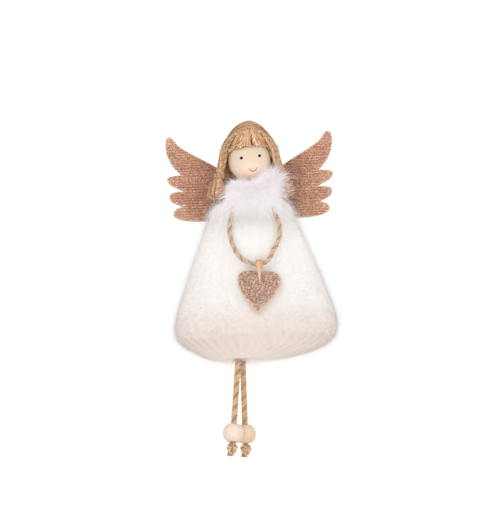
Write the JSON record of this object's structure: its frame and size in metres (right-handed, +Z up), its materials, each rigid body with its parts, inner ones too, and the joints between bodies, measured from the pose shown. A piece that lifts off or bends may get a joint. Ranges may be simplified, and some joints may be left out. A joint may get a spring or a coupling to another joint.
{
  "type": "angel doll",
  "caption": "Hanging angel doll: bead head with yarn hair, fur collar, plush bell dress, flat felt wings, a heart on a twine loop, and swinging twine legs that end in beads.",
  "frame": {"origin": "top of the knot in the neck cord, under the hair, where the doll hangs", "axes": "+Z up along the hanging doll, +Y out of its back, the face looks along -Y, +X to the right of the picture"},
  "size_m": [0.0968, 0.0505, 0.1969],
  "materials": {
    "lacquered_wood": "pale, thin clear lacquer",
    "flax_yarn": "plied flax yarn, matte",
    "white_fur": "fluffy long pile",
    "white_plush": "short soft pile",
    "fibre_fill": "loose fibre",
    "copper_glitter": "rose-gold glitter cloth",
    "cream_felt": "felt, matte",
    "jute_twine": "twisted jute, slightly hairy",
    "peach_thread": "thin cord"
  },
  "bodies": {
    "torso": {"neck_cord": "jute_twine", "dress": "white_plush", "dress_stuffing": "fibre_fill", "fur_collar": "white_fur", "hip_knot": "jute_twine", "wings_face": "copper_glitter", "wings_backing": "cream_felt"},
    "head": {"head_bead": "lacquered_wood", "hair_crown": "flax_yarn", "hair_back": "flax_yarn", "hair_fringe": "flax_yarn", "pigtail_left": "flax_yarn", "pigtail_right": "flax_yarn", "pigtail_tie_left": "jute_twine", "pigtail_tie_right": "jute_twine"},
    "heart_loop": {"heart_cord": "jute_twine"},
    "heart_knot": {"heart_tie": "peach_thread"},
    "heart": {"heart_backing": "cream_felt", "heart_face": "copper_glitter"},
    "leg_upper_left": {"leg_cord_upper_left": "jute_twine"},
    "leg_lower_left": {"leg_cord_lower_left": "jute_twine", "foot_knot_left": "jute_twine"},
    "foot_left": {"foot_bead_left": "lacquered_wood"},
    "leg_upper_right": {"leg_cord_upper_right": "jute_twine"},
    "leg_lower_right": {"leg_cord_lower_right": "jute_twine", "foot_knot_right": "jute_twine"},
    "foot_right": {"foot_bead_right": "lacquered_wood"}
  },
  "joints": [
    {"name": "head_turn", "type": "hinge", "parent": "torso", "child": "head", "pos_m": [0, 0, 0], "axis": [0, 0, 1], "range_deg": [-20, 20]},
    {"name": "heart_loop_lift", "type": "hinge", "parent": "torso", "child": "heart_loop", "pos_m": [0, -0.0113, -0.04396], "axis": [-1, 0, 0], "range_deg": [0, 70]},
    {"name": "heart_knot_turn", "type": "hinge", "parent": "heart_loop", "child": "heart_knot", "pos_m": [0.003, -0.0213, -0.08376], "axis": [-1, 0, 0], "range_deg": [0, 50]},
    {"name": "heart_swing", "type": "hinge", "parent": "heart_knot", "child": "heart", "pos_m": [0.003, -0.0195, -0.09016], "axis": [0, -0.9842, 0.1771], "range_deg": [-15, 15]},
    {"name": "leg_spread_left", "type": "hinge", "parent": "torso", "child": "leg_upper_left", "pos_m": [-0.0113, -0.0062, -0.13746], "axis": [0, 1, 0], "range_deg": [0, 25]},
    {"name": "leg_swing_left", "type": "hinge", "parent": "leg_upper_left", "child": "leg_lower_left", "pos_m": [-0.01183, -0.00627, -0.14243], "axis": [-1, 0, 0], "range_deg": [0, 60]},
    {"name": "foot_slide_left", "type": "slide", "parent": "leg_lower_left", "child": "foot_left", "axis": [0.1057, 0.0148, 0.9943], "range_m": [0, 0.02]},
    {"name": "leg_spread_right", "type": "hinge", "parent": "torso", "child": "leg_upper_right", "pos_m": [-0.0086, -0.0018, -0.13746], "axis": [0, -1, 0], "range_deg": [0, 25]},
    {"name": "leg_swing_right", "type": "hinge", "parent": "leg_upper_right", "child": "leg_lower_right", "pos_m": [-0.00864, -0.0011, -0.14241], "axis": [1, 0, 0], "range_deg": [0, 60]},
    {"name": "foot_slide_right", "type": "slide", "parent": "leg_lower_right", "child": "foot_right", "axis": [0.0075, -0.1402, 0.9901], "range_m": [0, 0.02]}
  ]
}
